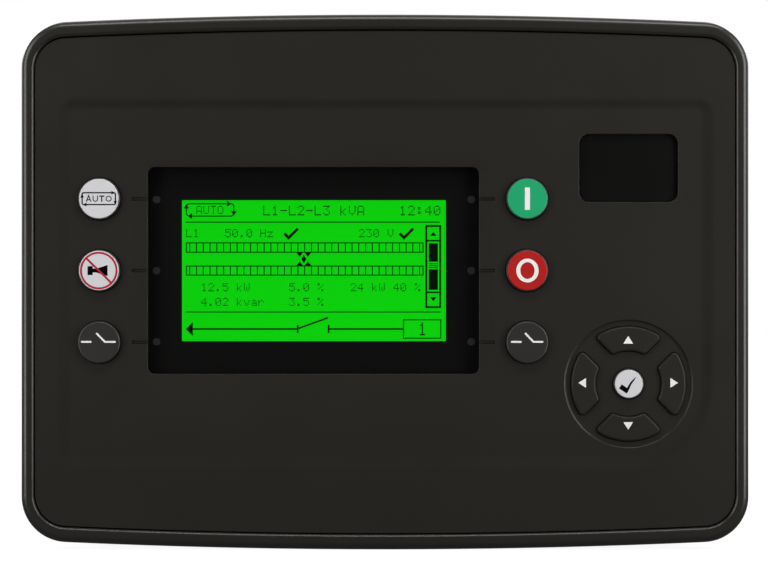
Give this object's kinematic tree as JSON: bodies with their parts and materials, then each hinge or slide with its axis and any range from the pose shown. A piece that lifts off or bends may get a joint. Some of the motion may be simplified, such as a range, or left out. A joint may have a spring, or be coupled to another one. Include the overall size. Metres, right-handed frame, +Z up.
{
  "type": "genset controller",
  "caption": "Panel-mount generating-set controller: dark bowed bezel, green backlit display, round keys and a direction pad, with plug-in terminals on the case behind.",
  "frame": {"origin": "middle of the panel plane, on the rear face of the gasket", "axes": "+X to the viewer's right along the width, +Y back through the panel, +Z up; the front faces -Y"},
  "size_m": [0.245, 0.051, 0.1802],
  "materials": {
    "moulded_housing": "satin moulded texture",
    "case_plastic": "fine moulded texture",
    "gasket_rubber": "closed-cell foam rubber",
    "clear_pane": "clear acrylic",
    "black_film": "black print behind the pane",
    "badge_gloss": "gloss black inlay",
    "lcd_green": "backlit green display",
    "folded_steel": "tinned sheet",
    "light_guide": "milky light guide",
    "lamp_clear": "frosted clear rod",
    "led_body": "moulded lamp body",
    "key_dark": "satin key top",
    "key_white": "satin white",
    "key_green": "satin green",
    "key_red": "satin red",
    "silicone": "grey silicone",
    "board_green": "green solder resist",
    "screw_steel": "zinc plated",
    "connector_black": "moulded black",
    "terminal_green": "moulded green",
    "connector_steel": "tinned shell",
    "relay_case": "moulded case",
    "capacitor_sleeve": "shrunk sleeve",
    "transformer_case": "potted blue case",
    "chip_black": "epoxy package",
    "cell_steel": "nickel plated",
    "pin_tin": "tinned pins"
  },
  "bodies": {
    "housing": {"bezel_frame": "moulded_housing", "fascia_panel": "moulded_housing", "badge_plate": "badge_gloss", "gasket": "gasket_rubber", "display_window": "clear_pane", "window_mask": "black_film", "lcd_frame": "folded_steel", "lcd_glass": "lcd_green", "backlight": "light_guide", "light_pipes": "lamp_clear", "indicator_leds": "led_body", "keymat": "silicone", "front_pcb": "board_green", "front_pcb_screws": "screw_steel", "board_header": "connector_black", "board_socket": "connector_black", "main_pcb": "board_green", "main_pcb_screws": "screw_steel", "relays": "relay_case", "capacitors": "capacitor_sleeve", "current_transformers": "transformer_case", "processor_chip": "chip_black", "clock_battery": "cell_steel", "rear_case": "case_plastic", "case_screws": "screw_steel", "header_pins": "pin_tin", "terminal_screws": "screw_steel", "serial_socket": "connector_steel", "serial_posts": "screw_steel", "ethernet_socket": "connector_steel", "usb_socket": "connector_steel", "voltage_header": "terminal_green", "voltage_plug": "terminal_green", "current_header": "terminal_green", "current_plug": "terminal_green", "input_header": "terminal_green", "input_plug": "terminal_green", "power_header": "terminal_green", "power_plug": "terminal_green", "output_header": "terminal_green", "output_plug": "terminal_green", "bus_header": "terminal_green", "bus_plug": "terminal_green"},
    "mode_button": {"mode_key": "key_dark", "mode_face": "key_white"},
    "mute_button": {"mute_key": "key_dark", "mute_face": "key_white"},
    "close_breaker_button": {"close_breaker_key": "key_dark"},
    "start_button": {"start_key": "key_dark", "start_face": "key_green"},
    "stop_button": {"stop_key": "key_dark", "stop_face": "key_red"},
    "open_breaker_button": {"open_breaker_key": "key_dark"},
    "up_button": {"up_key": "key_dark"},
    "down_button": {"down_key": "key_dark"},
    "left_button": {"left_key": "key_dark"},
    "right_button": {"right_key": "key_dark"},
    "accept_button": {"accept_key": "key_dark", "accept_face": "key_white"}
  },
  "joints": [
    {"name": "mode_press", "type": "slide", "parent": "housing", "child": "mode_button", "axis": [0, 1, 0], "range_m": [0, 0.0012], "stiffness_N_per_m": 800, "deforming": ["keymat"]},
    {"name": "mute_press", "type": "slide", "parent": "housing", "child": "mute_button", "axis": [0, 1, 0], "range_m": [0, 0.0012], "stiffness_N_per_m": 800, "deforming": ["keymat"]},
    {"name": "close_breaker_press", "type": "slide", "parent": "housing", "child": "close_breaker_button", "axis": [0, 1, 0], "range_m": [0, 0.0012], "stiffness_N_per_m": 800, "deforming": ["keymat"]},
    {"name": "start_press", "type": "slide", "parent": "housing", "child": "start_button", "axis": [0, 1, 0], "range_m": [0, 0.0012], "stiffness_N_per_m": 800, "deforming": ["keymat"]},
    {"name": "stop_press", "type": "slide", "parent": "housing", "child": "stop_button", "axis": [0, 1, 0], "range_m": [0, 0.0012], "stiffness_N_per_m": 800, "deforming": ["keymat"]},
    {"name": "open_breaker_press", "type": "slide", "parent": "housing", "child": "open_breaker_button", "axis": [0, 1, 0], "range_m": [0, 0.0012], "stiffness_N_per_m": 800, "deforming": ["keymat"]},
    {"name": "up_press", "type": "slide", "parent": "housing", "child": "up_button", "axis": [0, 1, 0], "range_m": [0, 0.0012], "stiffness_N_per_m": 800, "deforming": ["keymat"]},
    {"name": "down_press", "type": "slide", "parent": "housing", "child": "down_button", "axis": [0, 1, 0], "range_m": [0, 0.0012], "stiffness_N_per_m": 800, "deforming": ["keymat"]},
    {"name": "left_press", "type": "slide", "parent": "housing", "child": "left_button", "axis": [0, 1, 0], "range_m": [0, 0.0012], "stiffness_N_per_m": 800, "deforming": ["keymat"]},
    {"name": "right_press", "type": "slide", "parent": "housing", "child": "right_button", "axis": [0, 1, 0], "range_m": [0, 0.0012], "stiffness_N_per_m": 800, "deforming": ["keymat"]},
    {"name": "accept_press", "type": "slide", "parent": "housing", "child": "accept_button", "axis": [0, 1, 0], "range_m": [0, 0.0012], "stiffness_N_per_m": 800, "deforming": ["keymat"]}
  ]
}
